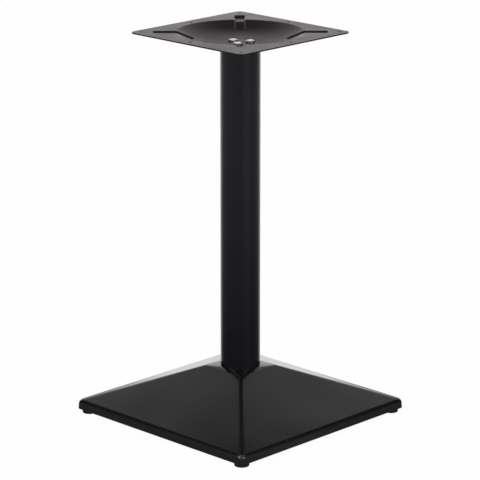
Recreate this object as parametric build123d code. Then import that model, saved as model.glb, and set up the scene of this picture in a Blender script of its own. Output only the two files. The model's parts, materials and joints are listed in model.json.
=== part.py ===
"""Cafe table base: pressed pyramid foot, round column, pressed top plate, four levelling feet.

Units are millimetres, +Z is up, the origin is on the floor under the middle of the column.
The sides of the foot and of the top plate run along X and Y.
"""
import math
import os

from build123d import *

# Whole base
TOTAL_HEIGHT = 750.0
BASE_SIDE = 450.0
PLATE_SIDE = 293.0
COLUMN_DIAMETER = 76.2

# Pressed foot cover
COVER_SHEET = 2.0
SKIRT_BOTTOM = 8.5
SKIRT_HEIGHT = 16.25
SKIRT_FLARE = 0.8
SKIRT_CORNER_RADIUS = 10.0
SKIRT_EDGE_RADIUS = 9.0
FACE_SLOPE = 0.407
RIDGE_RADIUS = 5.0
COLLAR_RUN = 8.9
COLLAR_RISE = 2.8
SEAT_LEDGE = 2.0
SEAT_FLAT = 2.0
SEAT_EDGE_RADIUS = 2.5

# Levelling feet and the corner plates they screw through
PAD_DIAMETER = 28.0
PAD_TO_SKIRT = 1.4
PAD_EDGE_RADIUS = 2.0
PAD_TOP_CHAMFER = 0.8
PAD_SKIN = 2.4
STUD_DIAMETER = 8.0
STUD_CHAMFER = 0.9
STUD_TO_COVER = 4.2
STUD_HEAD_FLATS = 13.0
STUD_HEAD_HEIGHT = 4.8
GUSSET_RISE = 1.0
GUSSET_SHEET = 3.5
GUSSET_LEG = 64.0
GUSSET_CORNER_GAP = 0.5
WELD_NUT_FLATS = 13.0
WELD_NUT_HEIGHT = 6.5

# Column
TUBE_WALL = 1.5
HEAD_DISC_THICKNESS = 8.0
FOOT_DISC_THICKNESS = 10.0

# Ballast and the bolt that ties column, cover and ballast together
BALLAST_HALF = 92.0
BALLAST_DRAFT = 1.0
BALLAST_HEIGHT = 38.7
BALLAST_WEB = 16.7
BALLAST_TO_COVER = 3.2
BALLAST_CORNER_RADIUS = 20.0
BALLAST_EDGE_RADIUS = 3.0
COUNTERBORE_ROOM = 2.0
TIE_BOLT_DIAMETER = 12.0
TIE_BOLT_CHAMFER = 1.2
TIE_BOLT_FLATS = 19.0
TIE_BOLT_HEAD = 7.5
TIE_BOLT_END_ABOVE_DISC = 3.0
TIE_WASHER_DIAMETER = 30.0
TIE_WASHER_THICKNESS = 3.0
TIE_SPRING_DIAMETER = 21.0
TIE_SPRING_THICKNESS = 2.8
TIE_SPRING_SPLIT = 1.2
TIE_SPRING_LEAN = 30.0

# Pressed top plate
PLATE_SHEET = 2.5
PLATE_CORNER_RADIUS = 12.0
DISH_DEPTH = 20.5
DISH_FLOOR_MARGIN = 0.2
DISH_STEEPNESS = 1.65
DISH_RIM_RADIUS = 8.0
DISH_TO_HOLES = 8.9
GROOVE_FLOOR_WIDTH = 14.4
GROOVE_DEPTH = 4.2
GROOVE_SLOPE_RUN = 3.8
GROOVE_INNER_END = 89.5
GROOVE_TO_HOLE = 24.5
GROOVE_PLAN_RADIUS = 3.0
SCREW_HOLE_DIAMETER = 6.0
SCREW_HOLE_INSET = 16.0
CENTRE_HOLE_DIAMETER = 12.0
PLATE_BOLT_DIAMETER = 10.0
PLATE_BOLT_CHAMFER = 1.1
PLATE_BOLT_FLATS = 16.0
PLATE_BOLT_HEAD = 4.8
PLATE_BOLT_LENGTH = 16.0
PLATE_BOLT_CIRCLE = 38.0
PLATE_BOLT_ANGLES = (60.0, 180.0, 300.0)
PLATE_BOLT_TURN = -15.0

# Angle at which the corners of a bolt head are turned off
HEAD_BEVEL = 30.0
# Room on the radius: round a thread, and round a shank in a plain hole
THREAD_PLAY = 0.3
HOLE_PLAY = 0.6
# How far a cutting shape reaches past the piece it cuts
OVERCUT = 1.0
# How close a point lies to a line or a skin that it is on
ON_LINE = 0.01
# An edge that climbs at more than this share of its length counts as upright
UPRIGHT_CLIMB = 0.9

# Heights and lengths that follow from the sizes above
BASE_HALF = BASE_SIDE / 2
SHOULDER_HALF = BASE_HALF - SKIRT_FLARE
SKIRT_INNER_HALF = SHOULDER_HALF - COVER_SHEET
INNER_CORNER_RADIUS = SKIRT_CORNER_RADIUS - COVER_SHEET
FACE_APEX = SKIRT_BOTTOM + SKIRT_HEIGHT + FACE_SLOPE * SHOULDER_HALF
SHEET_DROP = COVER_SHEET * math.sqrt(1 + FACE_SLOPE**2)
COLUMN_RADIUS = COLUMN_DIAMETER / 2
TUBE_BORE_RADIUS = COLUMN_RADIUS - TUBE_WALL
SEAT_HALF = COLUMN_RADIUS + SEAT_LEDGE
COLLAR_HALF = SEAT_HALF + COLLAR_RUN
COLLAR_HEIGHT = FACE_APEX - FACE_SLOPE * COLLAR_HALF
SEAT_HEIGHT = COLLAR_HEIGHT + COLLAR_RISE
SEAT_UNDERSIDE = SEAT_HEIGHT - COVER_SHEET
FOOT_OFFSET = SKIRT_INNER_HALF - PAD_TO_SKIRT - PAD_DIAMETER / 2
GUSSET_BOTTOM = SKIRT_BOTTOM + GUSSET_RISE
GUSSET_TOP = GUSSET_BOTTOM + GUSSET_SHEET
PAD_HEIGHT = GUSSET_BOTTOM - THREAD_PLAY
STUD_HEAD_TOP = PAD_SKIN + STUD_HEAD_HEIGHT
BALLAST_BOTTOM = SEAT_UNDERSIDE - BALLAST_HEIGHT
COUNTERBORE_TOP = SEAT_UNDERSIDE - BALLAST_WEB
TIE_SPRING_TOP = COUNTERBORE_TOP - TIE_WASHER_THICKNESS
TIE_HEAD_SEAT = TIE_SPRING_TOP - TIE_SPRING_THICKNESS
DISH_FLOOR = TOTAL_HEIGHT - DISH_DEPTH
DISH_FLOOR_RADIUS = COLUMN_RADIUS + DISH_FLOOR_MARGIN
COLUMN_TOP = DISH_FLOOR - PLATE_SHEET
SCREW_HOLE_HALF = PLATE_SIDE / 2 - SCREW_HOLE_INSET
DISH_BRIM_RADIUS = SCREW_HOLE_HALF - DISH_TO_HOLES
GROOVE_OUTER_END = SCREW_HOLE_HALF * math.sqrt(2) - GROOVE_TO_HOLE
FOOT_SPOTS = {
    "front_right": (FOOT_OFFSET, -FOOT_OFFSET),
    "rear_right": (FOOT_OFFSET, FOOT_OFFSET),
    "rear_left": (-FOOT_OFFSET, FOOT_OFFSET),
    "front_left": (-FOOT_OFFSET, -FOOT_OFFSET),
}


def rounded_square(half, radius, height):
    """A square with round corners, lying flat at the given height."""
    return Pos(0, 0, height) * RectangleRounded(2 * half, 2 * half, radius)


def stack(sections):
    """A solid with straight walls between sections given as (half side, corner radius, height)."""
    return loft([rounded_square(*section) for section in sections], ruled=True)


def upright(radius, bottom, top):
    """A round bar standing on the height bottom and ending at the height top."""
    return Pos(0, 0, bottom) * Cylinder(radius, top - bottom, align=(Align.CENTER, Align.CENTER, Align.MIN))


def drill(radius, bottom, top):
    """A round cutter that runs a little past both faces of what it cuts."""
    return upright(radius, bottom - OVERCUT, top + OVERCUT)


def hexagon(flats, bottom, top):
    """A hexagonal bar with the given size across its flats."""
    return extrude(Pos(0, 0, bottom) * RegularPolygon(flats / 2, 6, major_radius=False), amount=top - bottom)


def bolt_head(flats, seat, height):
    """A hexagon head on the height seat, far corners turned off; a minus height makes it hang down."""
    low = min(seat, seat + height)
    reach = flats / 2
    spread = reach + abs(height) / math.tan(math.radians(HEAD_BEVEL))
    radii = (spread, reach) if height > 0 else (reach, spread)
    cone = Cone(*radii, abs(height), align=(Align.CENTER, Align.CENTER, Align.MIN))
    return hexagon(flats, low, low + abs(height)) & Pos(0, 0, low) * cone


def face_height(distance, drop=0.0):
    """Height of a sloping face of the foot at a distance from the middle, less a drop."""
    return FACE_APEX - drop - FACE_SLOPE * distance


def level_edges(solid, height):
    """The edges of a solid that lie at one height."""
    return solid.edges().filter_by_position(Axis.Z, height - ON_LINE, height + ON_LINE)


def make_base_cover():
    """The pressed pyramid: skirt, four flat faces and a collar that turns the square into a round seat."""
    shoulder = face_height(SHOULDER_HALF)
    outer = stack([
        (BASE_HALF, SKIRT_CORNER_RADIUS, SKIRT_BOTTOM),
        (SHOULDER_HALF, SKIRT_CORNER_RADIUS, shoulder),
        (COLLAR_HALF, RIDGE_RADIUS, COLLAR_HEIGHT),
        (SEAT_HALF, SEAT_HALF - SEAT_FLAT / 2, SEAT_HEIGHT),
    ])
    outer = fillet(level_edges(outer, shoulder), SKIRT_EDGE_RADIUS)
    outer = fillet(level_edges(outer, SEAT_HEIGHT), SEAT_EDGE_RADIUS)

    inner_shoulder = face_height(SKIRT_INNER_HALF, SHEET_DROP)
    inner = stack([
        (SKIRT_INNER_HALF, INNER_CORNER_RADIUS, SKIRT_BOTTOM - OVERCUT),
        (SKIRT_INNER_HALF, INNER_CORNER_RADIUS, inner_shoulder),
        (COLLAR_HALF, RIDGE_RADIUS - COVER_SHEET, COLLAR_HEIGHT - SHEET_DROP),
        (SEAT_HALF, SEAT_HALF - SEAT_FLAT / 2, SEAT_UNDERSIDE),
    ])
    inner = fillet(level_edges(inner, inner_shoulder), SKIRT_EDGE_RADIUS - COVER_SHEET)
    return outer - inner - drill(TIE_BOLT_DIAMETER / 2 + HOLE_PLAY, SEAT_UNDERSIDE, SEAT_HEIGHT)


def make_corner_gussets():
    """Four flat corner plates welded into the skirt; the levelling feet screw through them."""
    side = SKIRT_INNER_HALF
    near = side - GUSSET_LEG
    cut = side - INNER_CORNER_RADIUS - GUSSET_CORNER_GAP
    outline = make_face(Polyline((side, near), (side, cut), (cut, side), (near, side), close=True))
    plate = extrude(Pos(0, 0, GUSSET_BOTTOM) * outline, amount=GUSSET_SHEET)
    hole = drill(STUD_DIAMETER / 2 + THREAD_PLAY, GUSSET_BOTTOM, GUSSET_TOP)
    plate = plate - Pos(FOOT_OFFSET, FOOT_OFFSET, 0) * hole
    return [Rot(0, 0, 90 * turn) * plate for turn in range(4)]


def make_weld_nuts():
    """Four hexagon nuts on top of the corner plates."""
    top = GUSSET_TOP + WELD_NUT_HEIGHT
    nut = hexagon(WELD_NUT_FLATS, GUSSET_TOP, top)
    nut = nut - drill(STUD_DIAMETER / 2 + THREAD_PLAY, GUSSET_TOP, top)
    return [Pos(x, y, 0) * nut for x, y in FOOT_SPOTS.values()]


def make_foot_stud():
    """A threaded stud whose hexagon head is moulded into the pad."""
    top = face_height(FOOT_OFFSET, SHEET_DROP) - STUD_TO_COVER
    stud = upright(STUD_DIAMETER / 2, STUD_HEAD_TOP, top)
    stud = chamfer(stud.edges().group_by(Axis.Z)[-1], STUD_CHAMFER)
    return stud + hexagon(STUD_HEAD_FLATS, PAD_SKIN, STUD_HEAD_TOP)


def make_foot_pad():
    """The round plastic pad of a levelling foot, closed round the head of its stud."""
    pad = upright(PAD_DIAMETER / 2, 0, PAD_HEIGHT)
    pad = fillet(pad.edges().group_by(Axis.Z)[0], PAD_EDGE_RADIUS)
    pad = chamfer(pad.edges().group_by(Axis.Z)[-1], PAD_TOP_CHAMFER)
    pad = pad - hexagon(STUD_HEAD_FLATS, PAD_SKIN, STUD_HEAD_TOP)
    return pad - drill(STUD_DIAMETER / 2 + THREAD_PLAY, STUD_HEAD_TOP, PAD_HEIGHT)


def make_ballast():
    """The iron weight under the seat; its sides follow the slope of the cover."""
    drop = SHEET_DROP + BALLAST_TO_COVER
    knee = face_height(BALLAST_HALF, drop)
    top_half = (FACE_APEX - drop - SEAT_UNDERSIDE) / FACE_SLOPE
    block = stack([
        (BALLAST_HALF - BALLAST_DRAFT, BALLAST_CORNER_RADIUS, BALLAST_BOTTOM),
        (BALLAST_HALF, BALLAST_CORNER_RADIUS, knee),
        (top_half, BALLAST_CORNER_RADIUS, SEAT_UNDERSIDE),
    ])
    block = fillet(level_edges(block, knee), BALLAST_EDGE_RADIUS)
    block = fillet(level_edges(block, BALLAST_BOTTOM), BALLAST_EDGE_RADIUS)
    counterbore = TIE_WASHER_DIAMETER / 2 + COUNTERBORE_ROOM
    block = block - upright(counterbore, BALLAST_BOTTOM - OVERCUT, COUNTERBORE_TOP)
    return block - drill(TIE_BOLT_DIAMETER / 2 + HOLE_PLAY, COUNTERBORE_TOP, SEAT_UNDERSIDE)


def make_tie_washer():
    """The flat washer in the counterbore of the ballast."""
    ring = upright(TIE_WASHER_DIAMETER / 2, TIE_SPRING_TOP, COUNTERBORE_TOP)
    return ring - drill(TIE_BOLT_DIAMETER / 2 + HOLE_PLAY, TIE_SPRING_TOP, COUNTERBORE_TOP)


def make_tie_spring():
    """The split spring washer between the flat washer and the bolt head."""
    ring = upright(TIE_SPRING_DIAMETER / 2, TIE_HEAD_SEAT, TIE_SPRING_TOP)
    ring = ring - drill(TIE_BOLT_DIAMETER / 2 + THREAD_PLAY, TIE_HEAD_SEAT, TIE_SPRING_TOP)
    split = Box(TIE_SPRING_DIAMETER / 2, TIE_SPRING_SPLIT, 3 * TIE_SPRING_THICKNESS)
    place = Pos(TIE_SPRING_DIAMETER / 2, 0, (TIE_HEAD_SEAT + TIE_SPRING_TOP) / 2)
    return ring - place * Rot(TIE_SPRING_LEAN, 0, 0) * split


def make_tie_bolt():
    """The bolt that pulls the column down on the cover and the ballast up under it."""
    end = SEAT_HEIGHT + FOOT_DISC_THICKNESS + TIE_BOLT_END_ABOVE_DISC
    shank = upright(TIE_BOLT_DIAMETER / 2, TIE_HEAD_SEAT, end)
    shank = chamfer(shank.edges().group_by(Axis.Z)[-1], TIE_BOLT_CHAMFER)
    return shank + bolt_head(TIE_BOLT_FLATS, TIE_HEAD_SEAT, -TIE_BOLT_HEAD)


def make_column_tube():
    """The round column, a plain welded tube."""
    tube = upright(COLUMN_RADIUS, SEAT_HEIGHT, COLUMN_TOP)
    return tube - drill(TUBE_BORE_RADIUS, SEAT_HEIGHT, COLUMN_TOP)


def make_foot_disc():
    """The thick disc welded into the lower end of the column and threaded for the tie bolt."""
    top = SEAT_HEIGHT + FOOT_DISC_THICKNESS
    disc = upright(TUBE_BORE_RADIUS - THREAD_PLAY, SEAT_HEIGHT, top)
    return disc - drill(TIE_BOLT_DIAMETER / 2 + THREAD_PLAY, SEAT_HEIGHT, top)


def plate_bolt_places():
    """Places of the three bolts in the dish of the top plate."""
    return [Rot(0, 0, angle) * Pos(PLATE_BOLT_CIRCLE / 2, 0, 0) * Rot(0, 0, PLATE_BOLT_TURN - angle)
            for angle in PLATE_BOLT_ANGLES]


def make_head_disc():
    """The disc welded into the upper end of the column, threaded for the three plate bolts."""
    bottom = COLUMN_TOP - HEAD_DISC_THICKNESS
    disc = upright(TUBE_BORE_RADIUS - THREAD_PLAY, bottom, COLUMN_TOP)
    for place in plate_bolt_places():
        disc = disc - place * drill(PLATE_BOLT_DIAMETER / 2 + THREAD_PLAY, bottom, COLUMN_TOP)
    return disc - drill(CENTRE_HOLE_DIAMETER / 2, bottom, COLUMN_TOP)


def make_plate_bolts():
    """Three hexagon bolts that hold the top plate on the column."""
    bolt = upright(PLATE_BOLT_DIAMETER / 2, DISH_FLOOR - PLATE_BOLT_LENGTH, DISH_FLOOR)
    bolt = chamfer(bolt.edges().group_by(Axis.Z)[0], PLATE_BOLT_CHAMFER)
    bolt = bolt + bolt_head(PLATE_BOLT_FLATS, DISH_FLOOR, PLATE_BOLT_HEAD)
    return [place * bolt for place in plate_bolt_places()]


def dish_profile(depth_below):
    """Half section of the dish above a skin that lies depth_below under the upper one.

    From the middle: a flat floor, a wide bend, a straight sloping wall and a rounded rim.
    """
    run = DISH_BRIM_RADIUS - DISH_FLOOR_RADIUS
    angle = math.atan(DISH_STEEPNESS * DISH_DEPTH / run)
    both_radii = (DISH_STEEPNESS - 1) * DISH_DEPTH * math.cos(angle) / (1 - math.cos(angle))
    bend = both_radii - DISH_RIM_RADIUS + depth_below
    rim = DISH_RIM_RADIUS - depth_below
    floor = DISH_FLOOR - depth_below
    brim = TOTAL_HEIGHT - depth_below
    lid = TOTAL_HEIGHT + OVERCUT

    def bend_point(turn):
        return (DISH_FLOOR_RADIUS + bend * math.sin(turn), 0, floor + bend * (1 - math.cos(turn)))

    def rim_point(turn):
        return (DISH_BRIM_RADIUS - rim * math.sin(turn), 0, brim - rim * (1 - math.cos(turn)))

    floor_edge = bend_point(0)
    brim_edge = rim_point(0)
    return make_face([
        Line((0, 0, floor), floor_edge),
        ThreePointArc(floor_edge, bend_point(angle / 2), bend_point(angle)),
        Line(bend_point(angle), rim_point(angle)),
        ThreePointArc(rim_point(angle), rim_point(angle / 2), brim_edge),
        Polyline(brim_edge, (DISH_BRIM_RADIUS, 0, lid), (0, 0, lid), (0, 0, floor)),
    ])


def dished_space(depth_below):
    """The room over the rim and in the dish, above a skin that lies depth_below under the upper one."""
    over_rim = upright(PLATE_SIDE, TOTAL_HEIGHT - depth_below, TOTAL_HEIGHT + OVERCUT)
    return over_rim + revolve(dish_profile(depth_below), Axis.Z)


def edges_round(solid, outline):
    """The edges of a solid that follow an outline seen from above, upright ones left out."""
    found = []
    for edge in solid.edges():
        point = edge @ 0.5
        gap = outline.wire().distance_to((point.X, point.Y, outline.center().Z))
        if gap < ON_LINE and abs((edge % 0.5).Z) < UPRIGHT_CLIMB:
            found.append(edge)
    return found


def space_above(depth_below):
    """All the room above a skin of the pressed plate: over the rim, in the dish and in the four grooves.

    The grooves run down from the rim into the dish and keep one depth below it all the way. Their walls
    slope at 45 degrees, so a skin further down has wider grooves.
    """
    dished = dished_space(depth_below)
    deeper = dished_space(GROOVE_DEPTH + depth_below)
    wider = depth_below * math.tan(math.radians(45 / 2))
    length = GROOVE_OUTER_END - GROOVE_INNER_END + 2 * wider
    middle = (GROOVE_OUTER_END + GROOVE_INNER_END) / 2
    slot = RectangleRounded(length, GROOVE_FLOOR_WIDTH + 2 * wider, GROOVE_PLAN_RADIUS + wider)
    space = dished
    for turn in range(4):
        outline = Rot(0, 0, 45 + 90 * turn) * Pos(middle, 0, COLUMN_TOP) * slot
        space = space + (extrude(outline, amount=TOTAL_HEIGHT + OVERCUT - COLUMN_TOP) & deeper)
        lips = [edge for edge in edges_round(space, outline) if dished.distance_to(edge @ 0.5) < ON_LINE]
        space = chamfer(lips, GROOVE_SLOPE_RUN)
    return space


def make_top_plate():
    """The pressed square plate: dish in the middle, four diagonal grooves, screw holes round the edge."""
    blank = rounded_square(PLATE_SIDE / 2, PLATE_CORNER_RADIUS, COLUMN_TOP - OVERCUT)
    plate = extrude(blank, amount=TOTAL_HEIGHT - COLUMN_TOP + OVERCUT)
    plate = (plate & space_above(PLATE_SHEET)) - space_above(0.0)
    screw_hole = drill(SCREW_HOLE_DIAMETER / 2, TOTAL_HEIGHT - PLATE_SHEET, TOTAL_HEIGHT)
    lines = (-SCREW_HOLE_HALF, 0, SCREW_HOLE_HALF)
    plate = plate - [Pos(x, y, 0) * screw_hole for x in lines for y in lines if x or y]
    bolt_hole = drill(PLATE_BOLT_DIAMETER / 2 + HOLE_PLAY, COLUMN_TOP, DISH_FLOOR)
    plate = plate - [place * bolt_hole for place in plate_bolt_places()]
    return plate - drill(CENTRE_HOLE_DIAMETER / 2, COLUMN_TOP, DISH_FLOOR)


def save(name, pieces):
    """Write one node; a list of loose pieces is written as one group."""
    if isinstance(pieces, list):
        pieces = Compound(children=[piece.solid() for piece in pieces])
    export_step(pieces, os.path.join("parts", name + ".step"))


os.makedirs("parts", exist_ok=True)
save("base_cover", make_base_cover())
save("corner_gussets", make_corner_gussets())
save("foot_weld_nuts", make_weld_nuts())
save("ballast_block", make_ballast())
save("tie_bolt", make_tie_bolt())
save("tie_bolt_washer", make_tie_washer())
save("tie_bolt_spring_washer", make_tie_spring())
save("column_tube", make_column_tube())
save("column_foot_disc", make_foot_disc())
save("column_head_disc", make_head_disc())
save("top_plate", make_top_plate())
save("top_plate_bolts", make_plate_bolts())
stud = make_foot_stud()
pad = make_foot_pad()
for spot, (x, y) in FOOT_SPOTS.items():
    save("foot_stud_" + spot, Pos(x, y, 0) * stud)
    save("foot_pad_" + spot, Pos(x, y, 0) * pad)
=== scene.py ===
# %% [markdown]
# # A cafe table base
# The base is a pressed pyramid foot, a round column and a pressed top plate, all coated black, with
# three bright bolts in the dish of the plate and four screw-in feet. The solids were designed first
# and arrive here as a frame. This lesson gives them their finishes, winds the threads of the feet and
# the bolts, which are too fine for the solids, and lights the whole like a catalogue picture.

import json
import math

import bmesh
import bpy
from mathutils import Matrix, Vector


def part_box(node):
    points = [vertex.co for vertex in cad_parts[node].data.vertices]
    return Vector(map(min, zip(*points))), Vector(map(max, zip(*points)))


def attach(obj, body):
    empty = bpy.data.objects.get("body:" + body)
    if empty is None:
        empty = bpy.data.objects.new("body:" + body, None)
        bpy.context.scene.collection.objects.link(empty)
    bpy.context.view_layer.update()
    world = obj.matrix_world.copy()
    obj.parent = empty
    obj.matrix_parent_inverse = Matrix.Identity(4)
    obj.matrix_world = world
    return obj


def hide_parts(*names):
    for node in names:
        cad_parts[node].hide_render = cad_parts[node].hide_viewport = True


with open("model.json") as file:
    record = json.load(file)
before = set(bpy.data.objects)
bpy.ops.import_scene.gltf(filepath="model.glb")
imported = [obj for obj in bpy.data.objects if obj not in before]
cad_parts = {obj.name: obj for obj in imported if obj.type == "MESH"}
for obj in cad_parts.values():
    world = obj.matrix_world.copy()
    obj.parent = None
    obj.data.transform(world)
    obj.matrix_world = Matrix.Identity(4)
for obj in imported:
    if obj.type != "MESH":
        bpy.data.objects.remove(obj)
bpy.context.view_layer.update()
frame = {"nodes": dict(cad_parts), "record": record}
nodes = frame["nodes"]

# %% [markdown]
# ## Small tools for finishes
# Every finish here is a tree of nodes, so that grain, gloss and colour can change over the surface.
# A tree could be drawn by hand in the editor. Written out, a few helpers are enough: one starts a
# material, one places a node and fills its sockets, and three serve the noises that every finish
# needs. They make a noise, stretch it between two values, or turn it into colours.

# %% Tools for finishes
NOISE_LOW = 0.3
NOISE_HIGH = 0.7


def start_finish(name):
    """Start a material; gives back the material, its tree and its shader."""
    finish = bpy.data.materials.new(name)
    finish.use_nodes = True
    tree = finish.node_tree
    return finish, tree, tree.nodes["Principled BSDF"]


def place(tree, kind, at, **settings):
    """Place a node; each setting names a socket, with _ for a blank, or else a property."""
    node = tree.nodes.new(kind)
    node.location = at
    for key, value in settings.items():
        socket = key.replace("_", " ")
        if socket in node.inputs:
            node.inputs[socket].default_value = value
        else:
            setattr(node, key, value)
    return node


def speckle(tree, at, scale, detail=3.0, rough=0.55):
    """A noise on the piece's own coordinates; scale is in lumps per metre."""
    where = place(tree, "ShaderNodeTexCoord", (at[0] - 200, at[1]))
    noise = place(tree, "ShaderNodeTexNoise", at, Scale=scale, Detail=detail, Roughness=rough)
    tree.links.new(where.outputs["Object"], noise.inputs["Vector"])
    return noise.outputs["Fac"]


def spread(tree, at, source, low, high):
    """Stretch the middle of a noise to run from low to high."""
    stretch = place(tree, "ShaderNodeMapRange", at,
                    From_Min=NOISE_LOW, From_Max=NOISE_HIGH, To_Min=low, To_Max=high)
    tree.links.new(source, stretch.inputs["Value"])
    return stretch.outputs["Result"]


def tint(tree, at, source, *stops):
    """Turn a noise into colours; each stop is (place from 0 to 1, colour)."""
    ramp = place(tree, "ShaderNodeValToRGB", at)
    while len(ramp.color_ramp.elements) < len(stops):
        ramp.color_ramp.elements.new(0.5)
    for element, (position, colour) in zip(ramp.color_ramp.elements, stops):
        element.position = position
        element.color = (*colour, 1.0)
    tree.links.new(source, ramp.inputs["Fac"])
    return ramp.outputs["Color"]


def dent(tree, at, height, **settings):
    """Bend the surface by a height; Strength and Distance say how much. Gives back the bump node."""
    bump = place(tree, "ShaderNodeBump", at, **settings)
    tree.links.new(height, bump.inputs["Height"])
    return bump


print("tools ready")

# %% [markdown]
# ## A panel that is not quite flat
# A pressed panel springs up a little in the middle when the press opens, and a drawn sheet keeps
# faint ripples. Both are too slight for the solid, but they bend what a glossy coat mirrors. The
# panel could be bent in its mesh. Two very broad bumps do the same for the mirror image, and leave
# the solid alone: one falls off with the square of the way from the column, the other is a noise.

# %% Spring the panel
RIPPLES = 7.0
RIPPLE_DEPTH = 0.0016


def level_out(tree, at, position):
    """The same position or direction, brought down to height 0."""
    level = place(tree, "ShaderNodeVectorMath", at, operation="MULTIPLY")
    level.inputs[1].default_value = (1.0, 1.0, 0.0)
    tree.links.new(position, level.inputs[0])
    return level.outputs["Vector"]


def sprung_panel(tree, crown):
    """The bent normal of a panel; crown is its fall in metres, a metre from the column."""
    where = place(tree, "ShaderNodeTexCoord", (-1100, -600))
    reach = level_out(tree, (-900, -600), where.outputs["Object"])
    square = place(tree, "ShaderNodeVectorMath", (-700, -600), operation="DOT_PRODUCT")
    for socket in (0, 1):
        tree.links.new(reach, square.inputs[socket])
    bulge = dent(tree, (-500, -600), square.outputs["Value"], invert=True, Strength=1.0, Distance=crown)
    waves = speckle(tree, (-700, -900), RIPPLES, 0.0)
    ripple = dent(tree, (-500, -900), waves, Strength=1.0, Distance=RIPPLE_DEPTH)
    tree.links.new(ripple.outputs["Normal"], bulge.inputs["Normal"])
    return bulge.outputs["Normal"]


print("ripples:", RIPPLES, "per metre")

# %% [markdown]
# ## The black coat
# Powder coat is sprayed on dry and melted in an oven. It comes out satin, with the faint dimples
# that painters call orange peel, and a few broad clouds where the film is thicker. A plain dark
# shader would look like plastic. Here one noise bends the surface by a few hundredths of a
# millimetre, another moves the gloss, and a third moves the colour a little. The foot is the
# glossiest of the three pieces, and the top plate, which a table hides, has the roughest coat.
# Only the foot has panels wide enough for their spring to show.

# %% Make the coats
CLOUDS = 9.0
FILM = 26.0
DIMPLES = 520.0
DIMPLE_DEPTH = 0.00006


def powder_coat(name, dark, light, gloss, peel, index, crown=0.0):
    """A satin coat; gloss is its range of roughness, peel the strength of its dimples."""
    finish, tree, shader = start_finish(name)
    clouds = tint(tree, (-450, 300), speckle(tree, (-700, 300), CLOUDS), (0.3, dark), (0.7, light))
    tree.links.new(clouds, shader.inputs["Base Color"])
    film = spread(tree, (-450, 0), speckle(tree, (-700, 0), FILM), *gloss)
    tree.links.new(film, shader.inputs["Roughness"])
    dimples = speckle(tree, (-700, -300), DIMPLES, 2.0)
    bump = dent(tree, (-250, -300), dimples, Strength=peel, Distance=DIMPLE_DEPTH)
    tree.links.new(bump.outputs["Normal"], shader.inputs["Normal"])
    if crown:
        tree.links.new(sprung_panel(tree, crown), bump.inputs["Normal"])
    shader.inputs["IOR"].default_value = index
    return finish


cover_black = powder_coat("cover_black", (0.003, 0.003, 0.003), (0.005, 0.0048, 0.0048),
                          gloss=(0.13, 0.18), peel=0.12, index=1.75, crown=0.06)
column_black = powder_coat("column_black", (0.0026, 0.0026, 0.006), (0.0045, 0.0045, 0.009),
                           gloss=(0.2, 0.28), peel=0.15, index=1.42)
plate_black = powder_coat("plate_black", (0.003, 0.0025, 0.0022), (0.006, 0.005, 0.0044),
                          gloss=(0.25, 0.32), peel=0.35, index=1.36)
print("coats:", [m.name for m in (cover_black, column_black, plate_black)])

# %% [markdown]
# ## Bright zinc
# The bolts, washers, nuts and studs are zinc plated. Fresh zinc is a bright grey metal with a faint
# blue cast, finely scratched by the barrel it was plated in. A metal shader takes its colour from
# its base colour, so the scratches only have to move the gloss and the surface.

# %% Make the zinc
BLOOM = 180.0
SCRATCHES = 900.0
SCRATCH_DEPTH = 0.00004


def zinc_plate(name, dull, bright, gloss):
    """A plated metal; gloss is its range of roughness."""
    finish, tree, shader = start_finish(name)
    bloom = tint(tree, (-450, 300), speckle(tree, (-700, 300), BLOOM), (0.25, dull), (0.7, bright))
    tree.links.new(bloom, shader.inputs["Base Color"])
    scratches = speckle(tree, (-700, 0), SCRATCHES, 5.0, 0.7)
    tree.links.new(spread(tree, (-450, 0), scratches, *gloss), shader.inputs["Roughness"])
    bump = dent(tree, (-250, -300), scratches, Strength=0.15, Distance=SCRATCH_DEPTH)
    tree.links.new(bump.outputs["Normal"], shader.inputs["Normal"])
    shader.inputs["Metallic"].default_value = 1.0
    return finish


bright_zinc = zinc_plate("bright_zinc", (0.8, 0.8, 0.81), (0.95, 0.95, 0.95), gloss=(0.1, 0.2))
stud_zinc = zinc_plate("stud_zinc", (0.5, 0.5, 0.5), (0.68, 0.67, 0.65), gloss=(0.25, 0.42))
print("zinc:", bright_zinc.name, stud_zinc.name)

# %% [markdown]
# ## What the underside shows
# Turned over, the base shows a cast iron weight dipped in black, mild steel plates under a thin
# coat, and moulded plastic feet. Cast iron keeps the grain of its sand mould, so it gets a coarse
# bump. The plates show brown mill scale through the thin coat. The plastic has a fine even grain
# from the tool it was moulded in.


# %% Make the iron, the steel and the plastic
def grainy(name, colours, patch, grain, gloss, strength, depth):
    """A matt finish; patch and grain are in lumps per metre, depth is that of the grain."""
    finish, tree, shader = start_finish(name)
    patches = speckle(tree, (-700, 300), patch, 6.0, 0.6)
    tree.links.new(tint(tree, (-450, 300), patches, *colours), shader.inputs["Base Color"])
    tree.links.new(spread(tree, (-450, 0), patches, *gloss), shader.inputs["Roughness"])
    grains = speckle(tree, (-700, -300), grain, 4.0, 0.6)
    bump = dent(tree, (-250, -300), grains, Strength=strength, Distance=depth)
    tree.links.new(bump.outputs["Normal"], shader.inputs["Normal"])
    return finish


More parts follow.
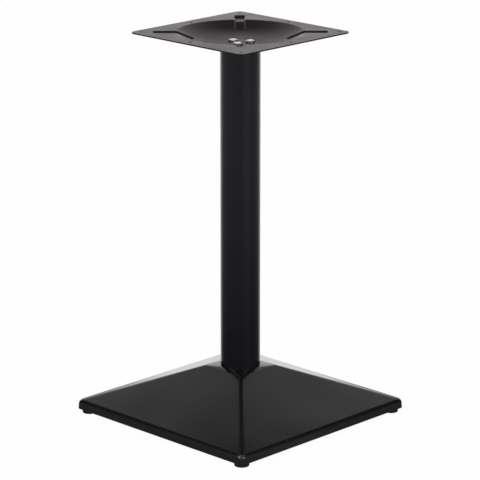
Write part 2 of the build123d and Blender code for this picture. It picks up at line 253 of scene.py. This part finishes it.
dipped_iron = grainy("dipped_iron", ((0.3, (0.012, 0.012, 0.013)), (0.75, (0.035, 0.033, 0.031))),
                     patch=60.0, grain=420.0, gloss=(0.5, 0.75), strength=0.6, depth=0.0006)
thin_coated_steel = grainy("thin_coated_steel",
                           ((0.35, (0.014, 0.014, 0.015)), (0.8, (0.05, 0.042, 0.036))),
                           patch=45.0, grain=700.0, gloss=(0.35, 0.6), strength=0.25, depth=0.0001)
foot_black = grainy("foot_black", ((0.3, (0.008, 0.008, 0.008)), (0.7, (0.014, 0.014, 0.014))),
                    patch=120.0, grain=1400.0, gloss=(0.42, 0.55), strength=0.3, depth=0.00008)
print("underside:", dipped_iron.name, thin_coated_steel.name, foot_black.name)

# %% [markdown]
# ## Dress the solids
# Most solids already have the right shape, so each one only takes its finish. The record of the
# part names a material slot for every solid, and the finish is looked up by that slot.

# %% Dress the solids
finish_of_slot = {
    "cover_coat": cover_black,
    "column_coat": column_black,
    "plate_coat": plate_black,
    "bolt_zinc": bright_zinc,
    "stud_zinc": stud_zinc,
    "inner_steel": thin_coated_steel,
    "ballast_iron": dipped_iron,
    "foot_plastic": foot_black,
}
for piece in frame["record"]["subparts"]:
    solid = nodes[piece["node"]]
    solid.data.materials.clear()
    solid.data.materials.append(finish_of_slot[piece["material_slot"]])
print("dressed:", len(nodes))

# %% [markdown]
# ## From a shape to a piece
# New pieces are shaped in a bmesh, a mesh held in memory that the operators of the editor work on.
# Joining two objects would need the editor's selection. It is simpler to pour one bmesh into the
# other before either becomes an object. A last helper turns the shape into an object that wears its
# finish. Operators give back points, edges and faces in one list, so the first helper sorts them.


# %% Tools for new pieces
def only(kind, parts):
    """Those parts of an operator's result that are of one kind."""
    return [part for part in parts if isinstance(part, kind)]


def pour(shape, whole):
    """Add one bmesh to another."""
    passing = bpy.data.meshes.new("passing")
    shape.to_mesh(passing)
    shape.free()
    whole.from_mesh(passing)
    bpy.data.meshes.remove(passing)


def finished_piece(name, shape, finish):
    """Make a bmesh an object of the scene, with one finish."""
    mesh = bpy.data.meshes.new(name)
    shape.to_mesh(mesh)
    shape.free()
    mesh.materials.append(finish)
    piece = bpy.data.objects.new(name, mesh)
    bpy.context.scene.collection.objects.link(piece)
    print(name, len(mesh.polygons), "faces")
    return piece


print("piece tools ready")

# %% [markdown]
# ## A thread
# The solids carry plain round studs, because a wound thread is too fine for them. A thread is one
# small ridge that climbs by its pitch in every turn. So the outline of a single turn is spun round
# the axis of the stud and lifted as it goes. Each turn starts where the last one stopped, so the
# turns can be sewn together, and both ends are then cut off square. A screw modifier would give the
# same ridge, but it leaves the ends open and staggered. Last, the upper end is turned to a point,
# as on a real screw, by drawing in the points that reach too far. Heights of the ridge are in pitches.

# %% Wind a thread
THREAD_DEPTH = 0.6
RIDGE_START = 0.25
CREST_START = 0.56
CREST_END = 0.69
POINT_LENGTH = 0.7
STEPS_A_TURN = 28
SEAM = 1e-6


def wound_rod(radius, pitch, bottom, top):
    """A threaded rod along Z, cut off square at both ends and turned to a point at the top."""
    rod = bmesh.new()
    root = radius - THREAD_DEPTH * pitch
    ridge = ((root, RIDGE_START), (radius, CREST_START), (radius, CREST_END), (root, 1.0))
    corner = bmesh.ops.create_vert(rod, co=(root, 0.0, bottom - pitch))["vert"][0]
    for out, rise in ridge:
        corner = bmesh.ops.extrude_vert_indiv(rod, verts=[corner])["verts"][0]
        corner.co = (out, 0.0, bottom + (rise - 1.0) * pitch)
    turns = math.ceil((top - bottom) / pitch) + 1
    bmesh.ops.spin(rod, geom=rod.verts[:] + rod.edges[:], axis=(0, 0, 1), cent=(0, 0, 0),
                   dvec=(0, 0, pitch / STEPS_A_TURN), angle=math.tau * turns, steps=STEPS_A_TURN * turns)
    bmesh.ops.remove_doubles(rod, verts=rod.verts, dist=SEAM)
    for height, side in ((bottom, -1), (top, 1)):
        cut = bmesh.ops.bisect_plane(rod, geom=rod.verts[:] + rod.edges[:] + rod.faces[:],
                                     plane_co=(0, 0, height), plane_no=(0, 0, side), clear_outer=True)
        bmesh.ops.edgeloop_fill(rod, edges=only(bmesh.types.BMEdge, cut["geom_cut"]))
    for vert in rod.verts:
        reach = math.hypot(vert.co.x, vert.co.y)
        allowed = radius - max(0.0, vert.co.z - (top - POINT_LENGTH * pitch))
        if reach > allowed:
            vert.co.xy *= allowed / reach
    return rod


print("turns are spun in", STEPS_A_TURN, "steps")

# %% [markdown]
# ## The studs of the feet
# A levelling foot is a short stud with a hexagon head that is sunk in a plastic pad. The head is a
# cone of six sides whose two radii are the same, with its edges softened by a bevel. Each stud takes
# its place and its height from the box of the plain solid that it replaces, and it rides on that foot.

# %% Make the studs
STUD_PITCH = 0.00125
STUD_RADIUS = 0.004
HEAD_FLATS = 0.013
HEAD_HEIGHT = 0.0048
HEAD_EDGE = 0.0004
HALF_FLAT = math.radians(30)


def soft_hexagon(flats, bottom, top):
    """A hexagon with corners on X and slightly rounded edges."""
    head = bmesh.new()
    corner = flats / math.sqrt(3)
    stand = Matrix.Translation((0, 0, (bottom + top) / 2)) @ Matrix.Rotation(HALF_FLAT, 4, "Z")
    bmesh.ops.create_cone(head, cap_ends=True, segments=6, radius1=corner, radius2=corner,
                          depth=top - bottom, matrix=stand)
    bmesh.ops.bevel(head, geom=head.edges[:], offset=HEAD_EDGE, offset_type="OFFSET", affect="EDGES",
                    segments=2, profile=0.5, material=-1)
    return head


for spot in ("front_right", "rear_right", "rear_left", "front_left"):
    low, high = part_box("foot_stud_" + spot)
    stud = wound_rod(STUD_RADIUS, STUD_PITCH, low[2] + HEAD_HEIGHT / 2, high[2])
    pour(soft_hexagon(HEAD_FLATS, low[2], low[2] + HEAD_HEIGHT), stud)
    middle = ((low[0] + high[0]) / 2, (low[1] + high[1]) / 2, 0.0)
    bmesh.ops.translate(stud, verts=stud.verts, vec=middle)
    bmesh.ops.recalc_face_normals(stud, faces=stud.faces)
    piece = finished_piece("threaded_stud_" + spot, stud, stud_zinc)
    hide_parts("foot_stud_" + spot)
    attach(piece, "foot_" + spot)

# %% [markdown]
# ## The head of a bolt
# The three bolts are the only bright spots of the base. A bolt head starts as a hexagon bar whose top
# is turned on a lathe, so its upper edge is a cone cut by six flats, and every flat ends in an arch.
# The outline is drawn as a circle of many points, each pulled out to the hexagon. It is then raised to
# the arches and drawn in to the round top. Cutting a hexagon with a cone would give the same arches,
# but leaves long thin faces that shade badly.

# %% Turn a bolt head
HEAD_POINTS = 96
HEAD_SLOPE = math.radians(30)
CORNER_REACH = 0.565


def hexagon_reach(angle, flats):
    """How far a hexagon with corners on X, a little rounded, reaches at an angle."""
    off_corner = (angle + HALF_FLAT) % (2 * HALF_FLAT) - HALF_FLAT
    return min(flats / 2 / math.cos(HALF_FLAT - abs(off_corner)), CORNER_REACH * flats)


def turned_head(flats, seat, top, round_top):
    """A hexagon head that stands on the height seat, with a sloping edge and a round flat top."""
    head = bmesh.new()
    levels = [bmesh.ops.create_circle(head, segments=HEAD_POINTS, radius=1.0)["verts"]]
    rim = head.edges[:]
    bmesh.ops.edgeloop_fill(head, edges=rim)
    for _ in range(2):
        raised = bmesh.ops.extrude_edge_only(head, edges=rim)["geom"]
        rim = [edge for edge in only(bmesh.types.BMEdge, raised) if len(edge.link_faces) == 1]
        levels.append(only(bmesh.types.BMVert, raised))
    bmesh.ops.edgeloop_fill(head, edges=rim)
    for level, verts in enumerate(levels):
        for vert in verts:
            angle = math.atan2(vert.co.y, vert.co.x)
            reach = hexagon_reach(angle, flats)
            arch = top - (reach - round_top) * math.tan(HEAD_SLOPE)
            reach = (reach, reach, round_top)[level]
            height = (seat, arch, top)[level]
            vert.co = (reach * math.cos(angle), reach * math.sin(angle), height)
    return head


print("a head has", HEAD_POINTS, "points round its rim")

# %% [markdown]
# ## The bolts in the dish
# Three bolts hold the plate to the column, evenly spaced on a circle round its middle. They are made
# one by one, each from a head and a shank that is threaded like the studs, and poured together into
# one piece, because the solids hold them as one. The seat is found from the box of those solids.

# %% Make the bolts
BOLT_RADIUS = 0.005
BOLT_PITCH = 0.0015
BOLT_FLATS = 0.016
BOLT_HEAD = 0.0041
BOLT_ROUND_TOP = 0.0062
BOLT_CIRCLE = 0.038
BOLT_TURN = math.radians(-15)
SOLID_HEAD = 0.0048
low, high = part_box("top_plate_bolts")
seat = high[2] - SOLID_HEAD
bolts = bmesh.new()
for angle in (60, 180, 300):
    bolt = turned_head(BOLT_FLATS, seat, seat + BOLT_HEAD, BOLT_ROUND_TOP)
    pour(wound_rod(BOLT_RADIUS, BOLT_PITCH, low[2], seat + BOLT_HEAD / 2), bolt)
    bmesh.ops.rotate(bolt, verts=bolt.verts, matrix=Matrix.Rotation(BOLT_TURN, 3, "Z"))
    spot = Matrix.Rotation(math.radians(angle), 3, "Z") @ Vector((BOLT_CIRCLE / 2, 0.0, 0.0))
    bmesh.ops.translate(bolt, verts=bolt.verts, vec=spot)
    bmesh.ops.recalc_face_normals(bolt, faces=bolt.faces)
    pour(bolt, bolts)
piece = finished_piece("turned_plate_bolts", bolts, bright_zinc)
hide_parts("top_plate_bolts")
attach(piece, "base")

# %% [markdown]
# ## The studio
# The photograph is a catalogue picture: white all round, bright behind the object and dim behind the
# camera. A black coat shows little but what it mirrors, so the room matters more than the lamps.
# The camera looks at a corner of the foot, very slightly off, and everything in the studio is placed
# along its line of sight or across it. So three directions are worked out first.

# %% Set the camera's side and the backdrop's side
CORNER_ON = 45.0
OFF_CORNER = 0.507
CAMERA_TURN = math.radians(CORNER_ON - OFF_CORNER)
away = Vector((-math.sin(CAMERA_TURN), math.cos(CAMERA_TURN), 0.0))
right = Vector((math.cos(CAMERA_TURN), math.sin(CAMERA_TURN), 0.0))
upward = Vector((0.0, 0.0, 1.0))
print("looking along", tuple(round(c, 3) for c in away))

# %% [markdown]
# ## Small tools for light
# Floor, screen and world each show one thing to the camera and another to a mirror. The light in the
# mirror has to fade softly from place to place, or a hard line would cross the coat. A gradient
# texture could do it along one axis. Here a soft step works on any measure, such as the way along a
# line through the room, and the steps are multiplied, added and used to mix two shaders.


# %% Tools for light
def emptied(owner):
    """The node tree of a new material or world, with nothing in it."""
    owner.use_nodes = True
    owner.node_tree.nodes.clear()
    return owner.node_tree


def soft_step(tree, at, source, start, end, before, after):
    """A value that goes from before to after while the source goes from start to end."""
    step = place(tree, "ShaderNodeMapRange", at, interpolation_type="SMOOTHSTEP",
                 From_Min=start, From_Max=end, To_Min=before, To_Max=after)
    tree.links.new(source, step.inputs["Value"])
    return step.outputs["Result"]


def fade_along(tree, at, position, line, **step):
    """A soft step along a line through the room."""
    along = place(tree, "ShaderNodeVectorMath", at, operation="DOT_PRODUCT")
    along.inputs[1].default_value = line
    tree.links.new(position, along.inputs[0])
    return soft_step(tree, (at[0] + 200, at[1]), along.outputs["Value"], **step)


def bearing_of(tree, at, position):
    """The level direction from the middle of the room to a position, of length 1."""
    bearing = place(tree, "ShaderNodeVectorMath", at, operation="NORMALIZE")
    tree.links.new(level_out(tree, (at[0] - 200, at[1]), position), bearing.inputs[0])
    return bearing.outputs["Vector"]


def reckon(tree, at, operation, *values):
    """A sum or a product; each value is a number or the result of another node."""
    result = place(tree, "ShaderNodeMath", at, operation=operation)
    for value, socket in zip(values, result.inputs):
        if isinstance(value, float):
            socket.default_value = value
        else:
            tree.links.new(value, socket)
    return result.outputs["Value"]


def blend(tree, at, share, first, second):
    """Two shaders mixed: the first at a share of 0, the second at a share of 1."""
    mixed = place(tree, "ShaderNodeMixShader", at)
    for source, socket in zip((share, first, second), mixed.inputs):
        tree.links.new(source, socket)
    return mixed.outputs["Shader"]


print("light tools ready")

# %% [markdown]
# ## The floor in the mirror
# The floor lights the coat from below, and the column and the skirt mirror little else. It is bright
# behind the base, dim near it, which is painted shade of the base on the floor, and a little lighter
# again at the front right, which draws a soft light band down the column. Lamps could light a real floor
# like that, but they would light the base too. A glow that only a mirror sees leaves the base alone.

# %% Light the floor for the mirror
WHITE = (1.0, 1.0, 1.0, 1.0)
BAND_TURN = math.radians(36)
floor_white = bpy.data.materials.new("floor_white")
tree = emptied(floor_white)
where = place(tree, "ShaderNodeTexCoord", (-1200, -150)).outputs["Object"]
bearing = bearing_of(tree, (-800, -150), where)
behind = fade_along(tree, (-600, -150), bearing, away, start=0.45, end=0.95, before=0.0, after=0.88)
distance = place(tree, "ShaderNodeVectorMath", (-800, -350), operation="LENGTH")
tree.links.new(where, distance.inputs[0])
# painted shade: the glow that mirrors see is dimmed close to the base, standing in for the base's shadow on
# the floor
painted_shade_near_base = soft_step(tree, (-600, -350), distance.outputs["Value"],
                    start=0.1, end=2.6, before=0.12, after=0.43)
front_right = math.sin(BAND_TURN) * right - math.cos(BAND_TURN) * away
beside = fade_along(tree, (-600, -550), bearing, front_right, start=0.9, end=0.98, before=1.0, after=1.45)
lit = reckon(tree, (-350, -400), "MULTIPLY_ADD", painted_shade_near_base, beside, behind)
gleam = place(tree, "ShaderNodeEmission", (-200, -150), Color=WHITE)
tree.links.new(lit, gleam.inputs["Strength"])
print("floor nodes:", len(tree.nodes))

# %% [markdown]
# ## The floor in the picture
# To the camera the floor is plain white, with a trace of shadow. One wide sheet serves for both looks,
# because a light path node tells a look of the camera from a look in a mirror. Looked at from below,
# the sheet is clear, so that the underside can be seen as well. Hiding the floor would do that too,
# but not for one side only.

# %% Lay the floor
FLOOR_HALF = 7.0
FLOOR_SEEN = 0.97
FLOOR_PALE = (0.8, 0.8, 0.8, 1.0)
pale = place(tree, "ShaderNodeBsdfDiffuse", (-200, 200), Color=FLOOR_PALE)
glow = place(tree, "ShaderNodeEmission", (-200, 0), Color=WHITE, Strength=1.0)
clear = place(tree, "ShaderNodeBsdfTransparent", (200, 300))
look = place(tree, "ShaderNodeLightPath", (-600, 400)).outputs
side = place(tree, "ShaderNodeNewGeometry", (-600, 700)).outputs
seen = reckon(tree, (-350, 400), "MULTIPLY", look["Is Camera Ray"], FLOOR_SEEN)
below = reckon(tree, (-350, 600), "MULTIPLY", side["Backfacing"], look["Is Camera Ray"])
to_camera = blend(tree, (0, 200), seen, pale.outputs["BSDF"], glow.outputs["Emission"])
to_mirror = blend(tree, (200, 100), look["Is Glossy Ray"], to_camera, gleam.outputs["Emission"])
from_below = blend(tree, (400, 200), below, to_mirror, clear.outputs["BSDF"])
out = place(tree, "ShaderNodeOutputMaterial", (600, 100))
tree.links.new(from_below, out.inputs["Surface"])

sheet = bmesh.new()
bmesh.ops.create_grid(sheet, x_segments=12, y_segments=12, size=FLOOR_HALF)
floor = finished_piece("studio_floor", sheet, floor_white)

# %% [markdown]
# ## The white screen
# A black object is drawn by what it mirrors. So a white screen stands close behind it, out of the
# picture: its mirror image makes the flat rim of the top plate and the top of the foot grey, while
# the dish, whose wall looks up over the screen, stays dark. The screen is a plain sheet that only
# shows in reflections, and its edges fade out so that no hard line crosses the coat.

# %% Stand the screen
SCREEN_AWAY = 1.6
SCREEN_HALF = 0.75
SCREEN_WHITE = (1.0, 0.925, 0.912, 1.0)
screen_white = bpy.data.materials.new("screen_white")
tree = emptied(screen_white)
where = place(tree, "ShaderNodeTexCoord", (-900, 0)).outputs["Object"]
to_top = fade_along(tree, (-700, 200), where, upward, start=0.82, end=1.24, before=1.0, after=0.0)
to_left = fade_along(tree, (-700, 0), where, right, start=-0.74, end=-0.45, before=0.0, after=1.0)
to_right = fade_along(tree, (-700, -200), where, right, start=0.45, end=0.74, before=1.0, after=0.0)
across = reckon(tree, (-300, -100), "MULTIPLY", to_left, to_right)
share = reckon(tree, (-100, 0), "MULTIPLY", across, to_top)
clear = place(tree, "ShaderNodeBsdfTransparent", (0, 200))
paper = place(tree, "ShaderNodeEmission", (0, -150), Color=SCREEN_WHITE, Strength=1.42)
edge = blend(tree, (200, 0), share, clear.outputs["BSDF"], paper.outputs["Emission"])
out = place(tree, "ShaderNodeOutputMaterial", (400, 0))
tree.links.new(edge, out.inputs["Surface"])

sheet = bmesh.new()
stand = Matrix.Translation(SCREEN_AWAY * away + SCREEN_HALF * upward) @ Matrix.Rotation(CAMERA_TURN, 4, "Z")
bmesh.ops.create_grid(sheet, x_segments=8, y_segments=8, size=SCREEN_HALF,
                      matrix=stand @ Matrix.Rotation(math.radians(90), 4, "X"))
screen = finished_piece("white_screen", sheet, screen_white)
screen.visible_camera = False
screen.visible_diffuse = False
screen.visible_shadow = False

# %% [markdown]
# ## The room
# The world round the studio shows a plain white backdrop to the camera and gives an even fill light.
# In the coat it is a room: light behind the base up to the height of a wall, grey on the camera's
# side, and bright again straight overhead, where a ceiling lamp would be, which lights the sloping
# edges of the bolts. A picture of a real room could be used, but its windows would show in the coat.

# %% Light the room
MIRRORED_WHITE = (1.0, 0.965, 0.955, 1.0)
room = bpy.data.worlds.new("studio_room")
bpy.context.scene.world = room
tree = emptied(room)
where = place(tree, "ShaderNodeTexCoord", (-1300, 100)).outputs["Generated"]
bearing = bearing_of(tree, (-900, 200), where)
behind = fade_along(tree, (-700, 200), bearing, away, start=0.65, end=0.92, before=0.0, after=1.0)
below_top = fade_along(tree, (-700, 0), where, upward, start=0.55, end=0.85, before=0.55, after=0.0)
overhead = fade_along(tree, (-700, -200), where, upward, start=0.8, end=0.98, before=0.035, after=0.6)
near_side = fade_along(tree, (-700, -400), bearing, away, start=-0.5, end=0.1, before=0.4, after=0.0)
below_lamps = fade_along(tree, (-700, -600), where, upward, start=0.7, end=0.95, before=1.0, after=0.0)
dim = reckon(tree, (-450, -300), "MULTIPLY_ADD", near_side, below_lamps, overhead)
lit = reckon(tree, (-250, 100), "MULTIPLY_ADD", behind, below_top, dim)
mirrored = place(tree, "ShaderNodeBackground", (0, 100), Color=MIRRORED_WHITE)
tree.links.new(lit, mirrored.inputs["Strength"])

fill = place(tree, "ShaderNodeBackground", (0, 300), Color=WHITE, Strength=0.8)
backdrop = place(tree, "ShaderNodeBackground", (0, -100), Color=WHITE, Strength=1.0)
look = place(tree, "ShaderNodeLightPath", (0, 600)).outputs
to_mirror = blend(tree, (250, 200), look["Is Glossy Ray"],
                  fill.outputs["Background"], mirrored.outputs["Background"])
to_camera = blend(tree, (450, 200), look["Is Camera Ray"], to_mirror, backdrop.outputs["Background"])
out = place(tree, "ShaderNodeOutputWorld", (650, 200))
tree.links.new(to_camera, out.inputs["Surface"])
print("world:", room.name)

# %% [markdown]
# ## The lamps
# Two softboxes stand on the camera's side, the left one larger and stronger, and give the column and
# the foot their form. A softbox is a wide cloth with a lamp behind it. An area lamp of the same size
# gives the same soft light, and it is kept weak, so that its mirror image in the coat stays faint.

# %% Hang the lamps
AIM = Vector((0.0, 0.0, 0.4))


def softbox(name, stand, wide, high, watts):
    """Hang an area lamp that looks at the middle of the column."""
    lamp = bpy.data.lights.new(name, "AREA")
    lamp.shape = "RECTANGLE"
    lamp.size = wide
    lamp.size_y = high
    lamp.energy = watts
    box = bpy.data.objects.new(name, lamp)
    box.location = stand
    box.rotation_euler = (AIM - stand).to_track_quat("-Z", "Y").to_euler()
    bpy.context.scene.collection.objects.link(box)


softbox("left_softbox", -1.9 * right - 1.3 * away + 1.7 * upward, wide=1.5, high=1.8, watts=17.0)
softbox("right_softbox", 1.6 * right - 2.1 * away + 1.5 * upward, wide=1.2, high=1.6, watts=11.0)

# %% [markdown]
# ## The camera
# The photograph was taken from about 5 metres with a long lens, from well above the top plate. Its
# distance, height and lens were found by fitting the edges of the foot and the top plate, so the
# picture needs no shift and no depth of field. The fit gives the focal length in pixels of the
# picture, and the width of the sensor turns it into millimetres.

# %% Place the camera
CAMERA_BACK = 4.7283
CAMERA_LEFT = 0.00069
CAMERA_HEIGHT = 1.6952
CAMERA_TILT = math.radians(15.919)
FOCAL_PIXELS = 2578.8
PICTURE_PIXELS = 480
SENSOR_WIDTH = 36.0
lens = bpy.data.cameras.new("catalogue_camera")
lens.sensor_width = SENSOR_WIDTH
lens.lens = FOCAL_PIXELS * SENSOR_WIDTH / PICTURE_PIXELS
camera = bpy.data.objects.new("catalogue_camera", lens)
camera.location = -CAMERA_BACK * away - CAMERA_LEFT * right + CAMERA_HEIGHT * upward
sight = math.cos(CAMERA_TILT) * away - math.sin(CAMERA_TILT) * upward
camera.rotation_euler = sight.to_track_quat("-Z", "Y").to_euler()
bpy.context.scene.collection.objects.link(camera)
bpy.context.scene.camera = camera
bpy.context.scene.view_settings.view_transform = "Standard"
print("lens:", round(lens.lens, 1), "mm")
